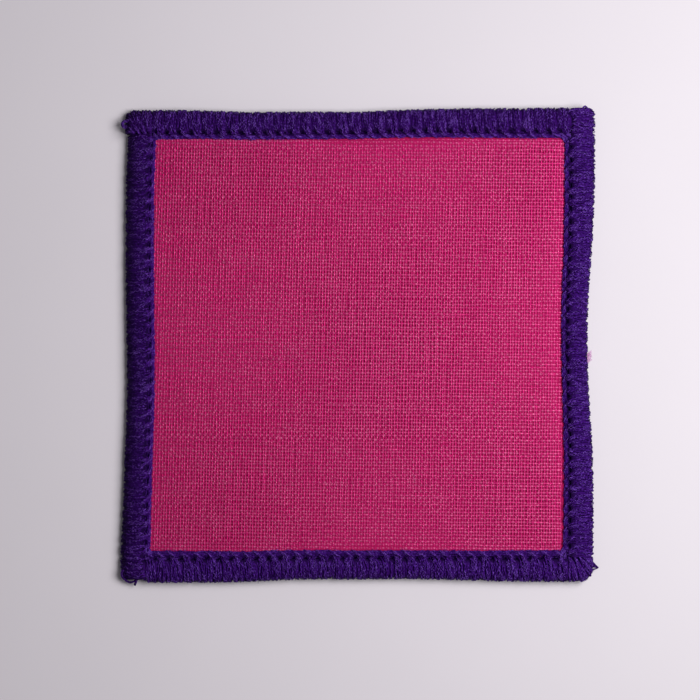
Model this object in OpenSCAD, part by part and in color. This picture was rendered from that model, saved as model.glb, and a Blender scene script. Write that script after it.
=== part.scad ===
// Square cloth patch with an overedged border.
// A plain woven cloth lies flat. Four lengths of wrapped stitches close over its edge, one to a side,
// and each one ends by covering the corner where the next begins. A chained thread runs along
// the inner ends of the stitches. Millimetres, +Z up, +X to the right and +Y to the top of the front.
// The origin is under the middle of the patch, on the surface that it lies on.

/* [Patch] */
// Width over the border, from left to right
patch_w = 64; // [50:1:90]
// Height over the border, from bottom to top
patch_h = 64; // [50:1:90]

/* [Ground cloth] */
// Thickness of the woven cloth
cloth_t = 1; // [0.8:0.1:1.6]

/* [Border] */
// Width of the wrapped stitches, from their inner ends to the outer edge
wrap_w = 3.2; // [2.6:0.1:4.4]
// Thickness of the yarn that lies over the cloth
yarn_over = 0.9; // [0.6:0.05:1.2]
// Thickness of the yarn that lies under the cloth
yarn_under = 0.7; // [0.4:0.05:1]
// Thickness of the yarn outside the cloth's edge
yarn_edge = 0.6; // [0.4:0.05:0.8]
// Distance from one stitch to the next
stitch_pitch = 1.67; // [1.5:0.01:2.4]
// Depth of the grooves between the stitches
groove_depth = 0.4; // [0.1:0.05:0.55]

/* [Chained thread] */
// Width of the chained thread beside the stitches
chain_w = 0.75; // [0.5:0.05:1.1]
// Height of the chained thread over the cloth
chain_h = 0.6; // [0.3:0.05:0.9]

/* [Clearances] */
// Gap between the faces of the cloth and the yarn on them
face_gap = 0.06; // [0.04:0.01:0.12]
// Gap between the edge of the cloth and the yarn round it
edge_gap = 0.15; // [0.1:0.01:0.25]
// Gap between two lengths of stitches at a corner
corner_gap = 0.2; // [0.12:0.01:0.4]
// Gap between the stitches and the chained thread
chain_gap = 0.08; // [0.05:0.01:0.2]

/* [Hidden] */

cloth_top = yarn_under + cloth_t;
border_h = cloth_top + yarn_over;

// The four sides, in the order in which the border was sewn, anticlockwise as seen from the front
BOTTOM = 0;
RIGHT = 1;
TOP = 2;
LEFT = 3;

// How each side's outer edge draws in and how its stitches widen. Columns: place along the side
// from -1 at the first corner to 1 at the last, draw-in and width of the stitches.
// The last two are shares of wrap_w.
PLACE = 0;
DRAW_IN = 1;
WIDTH = 2;
SIDES = [
    [ // bottom, from left to right
        [-1.00, 0.00, 1.10],
        [-0.75, 0.00, 1.08],
        [-0.50, 0.04, 1.04],
        [-0.25, 0.14, 0.98],
        [ 0.00, 0.14, 0.97],
        [ 0.25, 0.16, 0.95],
        [ 0.50, 0.10, 1.00],
        [ 0.75, 0.05, 1.05],
        [ 1.00, 0.04, 1.08]
    ],
    [ // right, from bottom to top
        [-1.00, 0.07, 0.99],
        [-0.75, 0.07, 0.97],
        [-0.50, 0.10, 0.92],
        [-0.25, 0.24, 0.84],
        [ 0.00, 0.32, 0.81],
        [ 0.25, 0.26, 0.84],
        [ 0.50, 0.10, 0.93],
        [ 0.75, 0.01, 0.99],
        [ 1.00, 0.00, 1.00]
    ],
    [ // top, from right to left
        [-1.00, 0.00, 1.04],
        [-0.75, 0.02, 1.03],
        [-0.50, 0.03, 1.00],
        [-0.25, 0.08, 0.95],
        [ 0.00, 0.17, 0.91],
        [ 0.25, 0.17, 0.92],
        [ 0.50, 0.18, 0.93],
        [ 0.75, 0.11, 0.98],
        [ 1.00, 0.10, 1.01]
    ],
    [ // left, from top to bottom
        [-1.00, 0.32, 1.05],
        [-0.75, 0.24, 1.04],
        [-0.50, 0.23, 1.03],
        [-0.25, 0.23, 1.03],
        [ 0.00, 0.27, 1.02],
        [ 0.25, 0.27, 1.01],
        [ 0.50, 0.19, 1.02],
        [ 0.75, 0.11, 1.04],
        [ 1.00, 0.00, 1.09]
    ]
];

// Radius of the cloth's corner at the end of each side, as a share of wrap_w
CLOTH_CORNERS = [0.30, 0.12, 0.16, 0.28];

// Section through a stitch, from its inner end over the top and round the edge to the underside.
// Columns: place across from the inner end at 0 to the outer edge at 1, level from -1 on the surface
// below to 0 and 1 at the cloth's faces and 2 on the crest, then what a groove between two stitches
// does there: its depth as a share of groove_depth, how far it draws the point across as a share
// of the width, and how far it leans back along the side as a share of the stitch distance.
ACROSS = 0;
LEVEL = 1;
GROOVE = 2;
PULL = 3;
LEAN = 4;
STITCH = [
    [0.00, 1.00, 0.00, 0.10, 0.26],
    [0.04, 1.68, 0.95, 0.10, 0.26],
    [0.26, 2.00, 1.00, 0.04, 0.08],
    [0.60, 1.94, 0.60, 0.00, 0.00],
    [0.88, 1.45, 0.35, -0.02, 0.00],
    [1.00, 0.45, 0.00, -0.03, 0.00],
    [0.90, -0.70, 0.00, -0.02, 0.00],
    [0.70, -1.00, 0.00, 0.00, 0.00],
    [0.12, -1.00, 0.00, 0.00, 0.00],
    [0.00, 0.00, 0.00, 0.06, 0.00]
];

// Where the rings of one stitch lie between its two grooves, as shares of the stitch distance
RINGS = [0.00, 0.27, 0.73];

// How the end of a length of stitches closes past its slot. Columns: turn of the corner as a share
// of what is left of it, and height left.
CLOSING = [[0.35, 0.93], [0.68, 0.75], [0.90, 0.48]];

// Section through the chained thread. Columns: place across as a share of chain_w and height
// as a share of chain_h.
THREAD = [[0.00, 0.00], [0.06, 0.60], [0.46, 1.00], [0.90, 0.62], [1.00, 0.00]];

// Number of equal steps in which the cloth's edge and the chained thread follow a side
side_steps = 20;
thread_steps = 14;
// Number of steps in a corner of the cloth
corner_steps = 3;

// Value of one column of a table at a place, on a smooth curve through the rows
function row_at(table, place, i = 0) =
    i >= len(table) - 2 || place < table[i + 1][PLACE] ? i : row_at(table, place, i + 1);
function slope(table, column, i) =
    let (a = table[max(i - 1, 0)], b = table[min(i + 1, len(table) - 1)])
    (b[column] - a[column]) / (b[PLACE] - a[PLACE]);
function smooth(table, column, place) =
    let (
        i = row_at(table, place),
        step = table[i + 1][PLACE] - table[i][PLACE],
        t = (place - table[i][PLACE]) / step
    )
    (2 * pow(t, 3) - 3 * pow(t, 2) + 1) * table[i][column]
    + (pow(t, 3) - 2 * pow(t, 2) + t) * step * slope(table, column, i)
    + (3 * pow(t, 2) - 2 * pow(t, 3)) * table[i + 1][column]
    + (pow(t, 3) - pow(t, 2)) * step * slope(table, column, i + 1);

// A side's own measures: s runs along it in the sewing direction, o outwards from the middle
function next_side(side) = (side + 1) % 4;
function side_before(side) = (side + 3) % 4;
function half_along(side) = (side % 2 == 0 ? patch_w : patch_h) / 2;
function half_out(side) = (side % 2 == 0 ? patch_h : patch_w) / 2;
function to_patch(side, s, o) =
    side == BOTTOM ? [s, -o] : side == RIGHT ? [o, s] : side == TOP ? [-s, o] : [-o, -s];

// The outer edge and the stitches' inner ends are straight across the corner squares
function place_along(side, s) = max(-1, min(1, s / (half_along(side) - wrap_w)));
function outer(side, s) =
    half_out(side) - wrap_w * smooth(SIDES[side], DRAW_IN, place_along(side, s));
function inner(side, s) =
    outer(side, s) - wrap_w * smooth(SIDES[side], WIDTH, place_along(side, s));
function outer_at_start(side) = outer(side, -half_along(side));
function outer_at_end(side) = outer(side, half_along(side));
function inner_at_start(side) = inner(side, -half_along(side));
function inner_at_end(side) = inner(side, half_along(side));

// A length of stitches starts beside the end of the one before and turns the corner at its own end
function run_start(side) = -inner_at_end(side_before(side)) + corner_gap;
function run_end(side) = outer_at_start(next_side(side));
function corner_r(side) = yarn_edge + CLOTH_CORNERS[side] * wrap_w;
function corner_s(side) = run_end(side) - corner_r(side);
function corner_o(side) = outer_at_end(side) - corner_r(side);

// Outward place of an arc of radius r round the corner's centre
function arc_o(side, s, r) =
    corner_o(side) + sqrt(max(0, pow(r, 2) - pow(s - corner_s(side), 2)));
function edge_o(side, s) = s > corner_s(side) ? arc_o(side, s, corner_r(side)) : outer(side, s);
function slot_r(side) = corner_r(side) - yarn_edge + edge_gap;
function slot_o(side, s) =
    s > corner_s(side) ? arc_o(side, s, slot_r(side)) : outer(side, s) - yarn_edge + edge_gap;

// Height of a level of the section
function height_of(level) = lookup(level, [[-1, 0], [0, yarn_under], [1, cloth_top], [2, border_h]]);

// One ring of a length of stitches. groove is 1 in a groove and 0 on a stitch, lean is 1 where
// the groove may slant, squeeze is what is left of the height and slot is true where the cloth is inside.
function stitch_point(side, s, row, groove, lean, squeeze, lip) =
    let (
        inside = inner(side, s),
        width = edge_o(side, s) - inside,
        middle = height_of(0.5),
        z = height_of(row[LEVEL]) - groove * row[GROOVE] * groove_depth + lip,
        o = inside + width * (row[ACROSS] + groove * row[PULL])
    )
    concat(
        to_patch(side, s - lean * groove * row[LEAN] * stitch_pitch, o),
        [middle + (z - middle) * squeeze]
    );
function stitch_ring(side, s, groove, lean, squeeze, slot) =
    let (last = len(STITCH) - 1)
    concat(
        [for (i = [0 : last])
            stitch_point(side, s, STITCH[i], groove, lean, squeeze,
                i == 0 ? face_gap : i == last ? -face_gap : 0)],
        slot ? [concat(to_patch(side, s, slot_o(side, s)), [yarn_under - face_gap]),
            concat(to_patch(side, s, slot_o(side, s)), [cloth_top + face_gap])] : []
    );

// All rings of one length of stitches, from its start to the closed end round the corner
function run_rings(side) =
    let (
        start = run_start(side),
        count = round((corner_s(side) - start) / stitch_pitch),
        pitch = (corner_s(side) - start) / count,
        wall_turn = asin(slot_r(side) / corner_r(side))
    )
    concat(
        [for (i = [0 : count * len(RINGS) - 1])
            let (part = i % len(RINGS))
            stitch_ring(side, start + pitch * (floor(i / len(RINGS)) + RINGS[part]),
                part == 0 ? 1 : 0, i == 0 ? 0 : 1, 1, true)],
        [for (turn = [0, wall_turn / 2, wall_turn])
            stitch_ring(side, corner_s(side) + corner_r(side) * sin(turn), 0, 0, 1, true)],
        [for (row = CLOSING)
            let (turn = wall_turn + (90 - wall_turn) * row[0])
            stitch_ring(side, corner_s(side) + corner_r(side) * sin(turn), 0, 0, row[1], false)]
    );

// Closed skin over a row of rings. Where the next ring has fewer points, the slot that the rings
// before it leave open is closed by a wall.
module skin(rings) {
    last = len(rings) - 1;
    first_point = [for (j = 0, n = 0; j <= last; n = n + len(rings[j]), j = j + 1) n];
    sides = [for (j = [0 : last - 1])
        let (n = len(rings[j + 1]))
        for (i = [0 : n - 1])
        let (
            a = first_point[j] + i,
            b = first_point[j] + (i + 1) % n,
            c = first_point[j + 1] + (i + 1) % n,
            d = first_point[j + 1] + i
        )
        each [[a, c, b], [a, d, c]]];
    walls = [for (j = [0 : last - 1])
        if (len(rings[j]) > len(rings[j + 1]))
        [for (i = [len(rings[j]) : -1 : len(rings[j + 1]) - 1]) first_point[j] + i % len(rings[j])]];
    start_cap = [for (i = [0 : len(rings[0]) - 1]) i];
    end_cap = [for (i = [len(rings[last]) - 1 : -1 : 0]) first_point[last] + i];
    polyhedron(points = [for (ring = rings) each ring], faces = concat(sides, walls, [start_cap], [end_cap]));
}

module border(side) {
    color("#3b1a78") skin(run_rings(side));
}

// The chained thread lies on the cloth, from beside the thread before it to beside the next stitches
module chain(side) {
    inset = chain_gap + chain_w;
    start = -(inner_at_end(side_before(side)) - inset) + corner_gap;
    end = inner_at_start(next_side(side)) - corner_gap;
    color("#45207f") skin([for (i = [0 : thread_steps])
        let (s = start + (end - start) * i / thread_steps)
        [for (point = THREAD)
            concat(to_patch(side, s, inner(side, s) - inset + chain_w * point[0]),
                [cloth_top + face_gap + chain_h * point[1]])]]);
}

// Outline of the cloth: the outer edge less the yarn round it, with round corners
function cloth_side(side) =
    let (
        start = -corner_o(side_before(side)),
        end = corner_s(side)
    )
    [for (i = [0 : side_steps])
        let (s = start + (end - start) * i / side_steps)
        to_patch(side, s, outer(side, s) - yarn_edge)];
function cloth_corner(side) =
    let (r = corner_r(side) - yarn_edge)
    [for (i = [1 : corner_steps - 1])
        let (turn = 90 * i / corner_steps)
        to_patch(side, corner_s(side) + r * sin(turn), corner_o(side) + r * cos(turn))];

module ground_cloth() {
    color("#b8356f")
    translate([0, 0, yarn_under])
    linear_extrude(cloth_t)
    polygon([for (side = [BOTTOM : LEFT]) each concat(cloth_side(side), cloth_corner(side))]);
}

module border_bottom() {
    border(BOTTOM);
}

module border_right() {
    border(RIGHT);
}

module border_top() {
    border(TOP);
}

module border_left() {
    border(LEFT);
}

module chain_bottom() {
    chain(BOTTOM);
}

module chain_right() {
    chain(RIGHT);
}

module chain_top() {
    chain(TOP);
}

module chain_left() {
    chain(LEFT);
}

ground_cloth();
border_bottom();
border_right();
border_top();
border_left();
chain_bottom();
chain_right();
chain_top();
chain_left();
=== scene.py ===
"""Looks of a square cloth patch: woven cloth, wrapped stitches round its edge, a chained thread
inside them, the yarn's ends at the corners and a few stray fibres."""
import math

import bpy
import numpy as np
from bpy.props import FloatProperty, FloatVectorProperty, IntProperty, PointerProperty
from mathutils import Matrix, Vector


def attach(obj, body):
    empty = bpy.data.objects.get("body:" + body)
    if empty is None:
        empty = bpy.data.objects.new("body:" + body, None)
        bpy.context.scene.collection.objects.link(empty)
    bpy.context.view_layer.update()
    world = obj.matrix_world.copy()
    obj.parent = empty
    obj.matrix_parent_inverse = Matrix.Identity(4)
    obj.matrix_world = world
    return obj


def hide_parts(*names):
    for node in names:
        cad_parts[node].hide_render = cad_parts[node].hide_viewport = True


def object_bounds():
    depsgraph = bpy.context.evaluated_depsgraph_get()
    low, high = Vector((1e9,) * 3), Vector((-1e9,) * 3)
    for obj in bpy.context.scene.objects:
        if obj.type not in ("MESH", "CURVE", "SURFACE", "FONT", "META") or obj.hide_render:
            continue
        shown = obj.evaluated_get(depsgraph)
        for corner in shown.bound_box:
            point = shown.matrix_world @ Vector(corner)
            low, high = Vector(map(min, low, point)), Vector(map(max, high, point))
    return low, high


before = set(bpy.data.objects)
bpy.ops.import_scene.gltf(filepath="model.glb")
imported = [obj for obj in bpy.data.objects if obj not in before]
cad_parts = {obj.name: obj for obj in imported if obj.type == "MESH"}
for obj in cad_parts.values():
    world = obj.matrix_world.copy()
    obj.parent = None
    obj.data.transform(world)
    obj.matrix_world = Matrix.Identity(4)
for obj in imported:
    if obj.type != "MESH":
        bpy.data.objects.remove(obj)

bl_info = {
    "name": "Cloth patch with an overedged border",
    "version": (1, 0, 0),
    "blender": (4, 5, 0),
    "location": "3D View > Sidebar > Patch",
    "description": "Builds the cloth, the stitches and the stage round the packed patch",
    "category": "Object",
}

CAD_BOX = [list(corner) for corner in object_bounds()]
MM = 0.001
BODY = "root"

# The four sides, in the order in which the border was sewn, anticlockwise as seen from the front
SIDE_NAMES = ("bottom", "right", "top", "left")
# The way outwards and the sewing direction of each
SIDE_WAYS = (((0, -1), (1, 0)), ((1, 0), (0, 1)), ((0, 1), (-1, 0)), ((-1, 0), (0, -1)))

# How each side's outer edge draws in and how its stitches widen, as in the part's source.
# Columns: place along the side from -1 to 1, draw-in and width of the stitches, both as shares
# of the stitches' usual width.
SIDES = (
    ((-1.00, 0.00, 1.10), (-0.75, 0.00, 1.08), (-0.50, 0.04, 1.04), (-0.25, 0.14, 0.98), (0.00, 0.14, 0.97),
     (0.25, 0.16, 0.95), (0.50, 0.10, 1.00), (0.75, 0.05, 1.05), (1.00, 0.04, 1.08)),
    ((-1.00, 0.07, 0.99), (-0.75, 0.07, 0.97), (-0.50, 0.10, 0.92), (-0.25, 0.24, 0.84), (0.00, 0.32, 0.81),
     (0.25, 0.26, 0.84), (0.50, 0.10, 0.93), (0.75, 0.01, 0.99), (1.00, 0.00, 1.00)),
    ((-1.00, 0.00, 1.04), (-0.75, 0.02, 1.03), (-0.50, 0.03, 1.00), (-0.25, 0.08, 0.95), (0.00, 0.17, 0.91),
     (0.25, 0.17, 0.92), (0.50, 0.18, 0.93), (0.75, 0.11, 0.98), (1.00, 0.10, 1.01)),
    ((-1.00, 0.32, 1.05), (-0.75, 0.24, 1.04), (-0.50, 0.23, 1.03), (-0.25, 0.23, 1.03), (0.00, 0.27, 1.02),
     (0.25, 0.27, 1.01), (0.50, 0.19, 1.02), (0.75, 0.11, 1.04), (1.00, 0.00, 1.09)),
)
DRAW_IN, WIDTH = 1, 2

# Radius of the cloth's corner at the end of each side, as a share of the stitches' width,
# and whether the last stitches turn round that corner like a fan
CLOTH_CORNERS = (0.30, 0.12, 0.16, 0.28)
FANNED = (True, False, True, False)

# How far, in mm, each side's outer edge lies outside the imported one, how much wider its chained
# thread is, and how far short of the corner its last stitch stops
OUTWARDS = (-0.01, 0.12, 0.08, -0.03)
CHAIN_WIDER = (0.13, -0.11, -0.05, -0.11)
SHORTER = (0.0, 0.0, 0.0, 0.5)

# How far, in mm, each side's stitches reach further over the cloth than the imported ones, and how
# far its fan stands out past the next side
INWARDS = (0.0, 0.20, 0.0, 0.0)
FAN_OUT = (0.0, 0.0, 0.28, 0.0)

# How far, in mm, a side's first groove lies past the inner ends of the side before it, where that
# one ends in a fan and where it doesn't
FIRST_GROOVE = {True: 0.15, False: -0.04}
# The end of a fan, in mm: how far its outer and its inner line stop short, and how far outwards the
# inner one has come by then
FAN_OUTER_SHORT, FAN_INNER_SHORT, FAN_INNER_RISE = 0.14, 0.75, 0.12

# How far, as a share of its height, each side's stitches drop at the outer edge
DROP = (0.0, 0.0, 0.0, 0.46)

# How far before the end of each side its chained thread turns off, as a share of the stitches' width
CHAIN_BENDS = (0.42, 0.42, 0.26, 0.34)

# Loops and tails of yarn that stand out at the corners. Each has the signs of x and y at its corner,
# its tone, the half thickness at its start and its end in mm, and its points: how far in from the
# patch's bounding corner across and up, and the height, in mm.
YARN_ENDS = {
    "loop_top_left": ((-1, 1), 0.35, (0.18, 0.17), (
        (1.30, 1.76, 1.7), (0.66, 1.80, 1.5), (0.38, 2.10, 1.4),
        (0.44, 2.42, 1.3), (0.80, 2.64, 1.4), (1.35, 2.74, 1.6))),
    "loop_top_left_inside": ((-1, 1), 0.5, (0.11, 0.11), (
        (1.35, 2.50, 1.7), (0.90, 2.42, 1.5), (0.58, 2.36, 1.4), (0.42, 2.16, 1.4))),
    "loop_top_right": ((1, 1), 0.5, (0.09, 0.10), (
        (1.95, 0.42, 2.0), (1.62, 0.02, 2.0), (1.31, -0.20, 1.9), (1.02, 0.04, 1.8), (0.86, 0.46, 1.7))),
    "tail_bottom_right_upper": ((1, -1), 0.5, (0.17, 0.07), (
        (0.85, 3.20, 1.9), (0.28, 2.78, 1.6), (-0.10, 2.42, 1.3), (-0.57, 2.05, 1.0))),
    "tail_bottom_right_middle": ((1, -1), 0.6, (0.18, 0.06), (
        (0.85, 2.75, 1.8), (0.35, 2.46, 1.5), (-0.06, 2.24, 1.2), (-0.55, 2.03, 1.0))),
    "tail_bottom_right_inside": ((1, -1), 0.5, (0.13, 0.05), (
        (0.80, 2.34, 1.6), (0.34, 2.22, 1.3), (-0.06, 2.11, 1.1), (-0.50, 2.02, 1.0))),
    "tail_bottom_right_lower": ((1, -1), 0.4, (0.12, 0.06), (
        (0.78, 1.60, 1.2), (0.32, 1.69, 1.1), (-0.08, 1.85, 1.0), (-0.55, 2.00, 0.9))),
    "loop_bottom_left": ((-1, -1), 0.3, (0.15, 0.13), (
        (0.42, 1.75, 1.3), (0.26, 1.05, 1.1), (0.70, 0.44, 1.0),
        (1.32, 0.06, 0.9), (1.92, 0.20, 1.0), (2.40, 0.62, 1.2))),
    "tail_bottom_left": ((-1, -1), 0.5, (0.17, 0.15), (
        (2.50, 0.90, 1.5), (2.28, 0.42, 1.2), (2.14, 0.06, 1.0), (2.02, -0.34, 0.8))),
}
END_PLIES, END_FILAMENTS = 3, 9

# Section through a stitch, from its root in the cloth over the top and round the edge to the
# underside. Columns: place across from the inner end at 0 to the outer edge at 1, level (-1 on the
# surface below, 0 and 1 at the cloth's faces, 2 on the crest), sag of a groove as a share of its
# depth, lean of a groove in stitches, and how far the strands spread over the stitch's breadth.
SECTION = (
    (0.115, 1.02, 0.20, -0.36, 0.50),
    (0.020, 1.20, 0.60, -0.33, 0.62),
    (0.000, 1.46, 1.00, -0.28, 0.74),
    (0.012, 1.74, 1.15, -0.22, 0.84),
    (0.070, 1.94, 1.05, -0.14, 0.93),
    (0.210, 2.01, 0.60, -0.06, 0.98),
    (0.420, 1.97, 0.24, -0.02, 1.00),
    (0.600, 1.87, 0.15, 0.00, 1.00),
    (0.760, 1.67, 0.12, 0.00, 1.00),
    (0.885, 1.38, 0.10, 0.00, 1.00),
    (0.970, 1.00, 0.06, 0.00, 1.00),
    (1.005, 0.50, 0.05, 0.00, 1.00),
    (0.990, 0.02, 0.06, 0.00, 1.00),
    (0.930, -0.55, 0.08, 0.00, 1.00),
    (0.830, -0.90, 0.12, 0.00, 1.00),
    (0.690, -1.00, 0.20, 0.00, 1.00),
    (0.420, -1.00, 0.30, 0.00, 0.98),
    (0.150, -0.97, 0.40, 0.00, 0.90),
    (0.040, -0.60, 0.40, 0.00, 0.75),
)
ACROSS, LEVEL, SAG, LEAN, SPREAD = range(5)

# Stretches of a thick strand, as shares of its length, and the number of steps in each
PLY_STRETCHES = ((0.0, 0.13, 3), (0.13, 0.47, 8), (0.47, 0.64, 4), (0.64, 1.0, 3))

# The narrow gap between stitches: its full depth in mm, and the share of that at shares of the way
# over the top to the outer edge
SEAM_DEPTH, SEAM_SHARES = 0.22, ((0.2, 0.35, 0.85, 1.1), (0.0, 1.0, 0.8, 0.2))

# Where the needle went down at the corners: x, y and radius of each hole, in mm
CORNER_HOLES = (
    (28.89, -28.38, 0.40), (26.89, -28.80, 0.26), (-27.97, 28.44, 0.28), (-27.43, 27.90, 0.25),
    (-28.77, -27.36, 0.28), (-28.68, -29.11, 0.25), (28.72, 30.18, 0.26), (28.72, 29.51, 0.26),
)
# Radius and depth of a hole in a groove, how far out of the stitches' inner ends it lies and the
# height below which nothing sinks into it, in mm, and how many stitches it lies before the groove
HOLE_RADIUS, HOLE_DEPTH, HOLE_OUT, HOLE_FLOOR = 0.27, 0.75, 0.20, 1.5
HOLE_BEFORE = 0.20

# How deep, in mm, the dark core lies inside the stitches, its darkness painted shade between the strands,
# and the heights in mm between which the strands darken with painted shade
CORE_DEPTH, BORDER_PAINTED_SHADE_HEIGHTS = 0.28, (1.2, 2.0)

# Height in mm of a chain's loop over the cloth at shares of its length, and the strands that run
# straight along under the loops, from the groove inwards: height in mm and tone. The tone of 0
# next to the groove is painted shade in the pits there.
LOOP_HEIGHTS = ((0, 0.15, 0.42, 0.8, 1), (-0.12, 0.12, 0.40, 0.28, 0.04))
UNDER_LOOPS = ((0.00, 0.0), (0.00, 0.0), (0.04, 0.0), (0.12, 0.1), (0.16, 0.25), (0.13, 0.35), (0.06, 0.4))
LOOSE_AT_EDGE, LOOSE_ROUND_CORNER = 4, 24

# How far in mm the woven threads reach from the middle, across and up, and how much the upright
# ones' slope falls off for each metre to the right
WEAVE_REACH, WEAVE_FAN = (28.0, 28.1), 0.30
# How far in mm the threads' crossings lie below the cloth's face, how far over and under that the
# upright and the level threads lie, how far the cloth's body lies below the face, and its rim's height
WEAVE_DEPTH, WARP_OVER, WEFT_UNDER, BODY_DEPTH, RIM_HEIGHT = 0.12, 0.01, 0.02, 0.085, 0.35

# Three loose fibres on the face: x and y in mm, and the way they point in radians
FACE_FIBRES = ((7.6, -17.8, 0.9), (7.8, -18.1, 2.3), (7.8, -18.1, -1.2))
# Fibres in the fluff at the right edge, where they start in mm, and their colour
FLUFF_FIBRES, FLUFF_X, FLUFF_Y, FLUFF_COLOUR = 60, 31.0, (-2.3, -1.1), (0.95, 0.34, 0.60)

# Seeds of the random numbers of each group of pieces
CLOTH_SEED, BORDER_SEED, CHAIN_SEED, FIBRE_SEED, END_SEED, FLUFF_SEED = 11, 100, 200, 300, 400, 500

# Middle of the 700 pixel picture less the middle of the patch in it, in pixels to the right and up
VIEW_RIGHT, VIEW_UP = -7.0, -4.5
PICTURE_PIXELS, SENSOR_MM = 700, 36.0
# How far the floor reaches each way, and the lamp's place and size, in metres
FLOOR_REACH, LAMP_PLACE, LAMP_SIZE = 1.5, (0.125, 0.025, 0.19), 0.15
# Height in mm over the floor at which the picture scale holds
CREST_MM = 2.2


def length(name, description, default, low=0.0, high=1.0):
    return FloatProperty(name=name, description=description, default=default, min=low, max=high,
                         precision=6, subtype="DISTANCE", unit="LENGTH")


def share(name, description, default, low=0.0, high=1.0):
    return FloatProperty(name=name, description=description, default=default, min=low, max=high,
                         subtype="FACTOR")


def count(name, description, default, low, high):
    return IntProperty(name=name, description=description, default=default, min=low, max=high)


def colour(name, description, default):
    return FloatVectorProperty(name=name, description=description, default=default, size=3,
                               min=0.0, max=1.0, subtype="COLOR")


class PatchSizes(bpy.types.PropertyGroup):
    """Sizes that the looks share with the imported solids"""
    patch_w: length("Patch width", "Width over the border", CAD_BOX[1][0] - CAD_BOX[0][0])
    patch_h: length("Patch height", "Height over the border", CAD_BOX[1][1] - CAD_BOX[0][1])
    cloth_t: length("Cloth thickness", "Thickness of the woven cloth", 1.0 * MM)
    wrap_w: length("Stitch width", "From the stitches' inner ends to the outer edge", 3.2 * MM)
    yarn_over: length("Yarn over the cloth", "Thickness of the yarn on top of the cloth", 0.9 * MM)
    yarn_under: length("Yarn under the cloth", "Thickness of the yarn below the cloth", 0.7 * MM)
    yarn_edge: length("Yarn at the edge", "Thickness of the yarn outside the cloth", 0.6 * MM)
    stitch_pitch: length("Stitch distance", "Distance from one stitch to the next", 1.67 * MM)
    chain_w: length("Chain width", "Width of the chained thread on the cloth", 0.75 * MM)
    chain_h: length("Chain height", "Height of the chained thread over the cloth", 0.6 * MM)


class ClothLooks(bpy.types.PropertyGroup):
    """Weave and colour of the ground cloth"""
    warp_pitch: length("Warp distance", "Distance between the upright threads", 0.374 * MM)
    weft_pitch: length("Weft distance", "Distance between the level threads", 0.444 * MM)
    warp_thread: length("Warp thread", "Half width of an upright thread", 0.190 * MM)
    weft_thread: length("Weft thread", "Half width of a level thread", 0.268 * MM)
    flatness: share("Flatness", "Height of a thread as a share of its width", 0.65)
    warp_wave: length("Warp wave", "How far the upright threads rise and fall", 0.030 * MM)
    weft_wave: length("Weft wave", "How far the level threads rise and fall", 0.026 * MM)
    waver: length("Waver", "How far the threads wander sideways", 0.036 * MM)
    warp_slant: share("Warp slant", "Slope of the upright threads to the right", 0.0244)
    weft_slant: share("Weft slant", "Slope of the level threads downwards", 0.0100)
    cloth_colour: colour("Cloth colour", "Colour of the threads", (0.50, 0.032, 0.150))
    # Painted highlight on the threads' crests and painted shade where they dive, mixed with their own
    # colour
    highlight_colour: colour("Highlight colour", "Painted highlight on the threads' crests", (0.86, 0.200, 0.415))
    shade_colour: colour("Shade colour", "Painted shade of the threads where they dive", (0.47, 0.006, 0.120))
    # The cloth's colour darkened as painted shade between the threads
    gap_shade_colour: colour("Gap shade colour", "Cloth colour darkened as painted shade between the threads", (0.43, 0.005, 0.092))


class YarnLooks(bpy.types.PropertyGroup):
    """Strands and colour of the border's yarn"""
    plies: count("Plies", "Thick strands in one stitch", 10, 3, 20)
    ply_radius: length("Ply radius", "Half the thickness of a thick strand", 0.145 * MM)
    filaments: count("Filaments", "Thin crimped strands on one stitch", 33, 0, 60)
    filament_radius: length("Filament radius", "Half the thickness of a thin strand", 0.050 * MM)
    groove_depth: length("Groove depth", "How deep the grooves between the stitches are", 0.40 * MM)
    crimp: length("Crimp", "How far a thin strand waves sideways", 0.115 * MM)
    crimp_length: length("Crimp length", "Length of one wave of a thin strand", 0.55 * MM)
    swell: length("Swell", "How far the stitches bulge over the chained thread", 0.27 * MM)
    chain_plies: count("Chain plies", "Thick strands in one loop of the chained thread", 5, 2, 9)
    chain_filaments: count("Chain filaments", "Thin strands on one loop of the chained thread", 9, 0, 20)
    yarn_colour: colour("Yarn colour", "Colour of the lit strands", (0.071, 0.0080, 0.240))
    shade_colour: colour("Shade colour", "Colour deep in the yarn", (0.023, 0.0018, 0.080))
    # Painted glints: pale specks on the yarn and the paler thin strands; also the sheen's tint
    glint_colour: colour("Glint colour", "Colour of the shiny flecks", (0.240, 0.096, 0.58))
    fibres: count("Stray fibres", "Loose fibres on each side of the border", 130, 0, 800)


class StageLooks(bpy.types.PropertyGroup):
    """Floor, lights and camera"""
    floor_colour: colour("Floor colour", "Colour of the pale floor", (0.80, 0.745, 0.80))
    lamp_power: FloatProperty(name="Lamp power", description="Strength of the soft lamp at the right",
                              default=0.555, min=0.0, unit="POWER")
    sky: FloatProperty(name="Sky", description="Strength of the even light from all round", default=0.118,
                       min=0.0)
    mm_per_pixel: length("Picture scale", "Size of one pixel of a 700 pixel picture", 0.13445 * MM)
    camera_height: length("Camera height", "Height of the camera over the patch", 0.35, 0.1, 2.0)


class Value:
    """A number socket that adds Math nodes when it is used in an expression"""

    def __init__(self, nodes, socket):
        self.nodes = nodes
        self.socket = socket

    def math(self, operation, *terms):
        made = self.nodes.add("ShaderNodeMath", {"operation": operation}, dict(enumerate(terms)))
        return Value(self.nodes, made.outputs[0])

    def __add__(self, other):
        return self.math("ADD", self, other)

    __radd__ = __add__

    def __sub__(self, other):
        return self.math("SUBTRACT", self, other)

    def __rsub__(self, other):
        return self.math("SUBTRACT", other, self)

    def __mul__(self, other):
        return self.math("MULTIPLY", self, other)

    __rmul__ = __mul__

    def __pow__(self, other):
        return self.math("POWER", self, other)

    def clamped(self):
        return self.math("MINIMUM", self.math("MAXIMUM", self, 0.0), 1.0)


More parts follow.
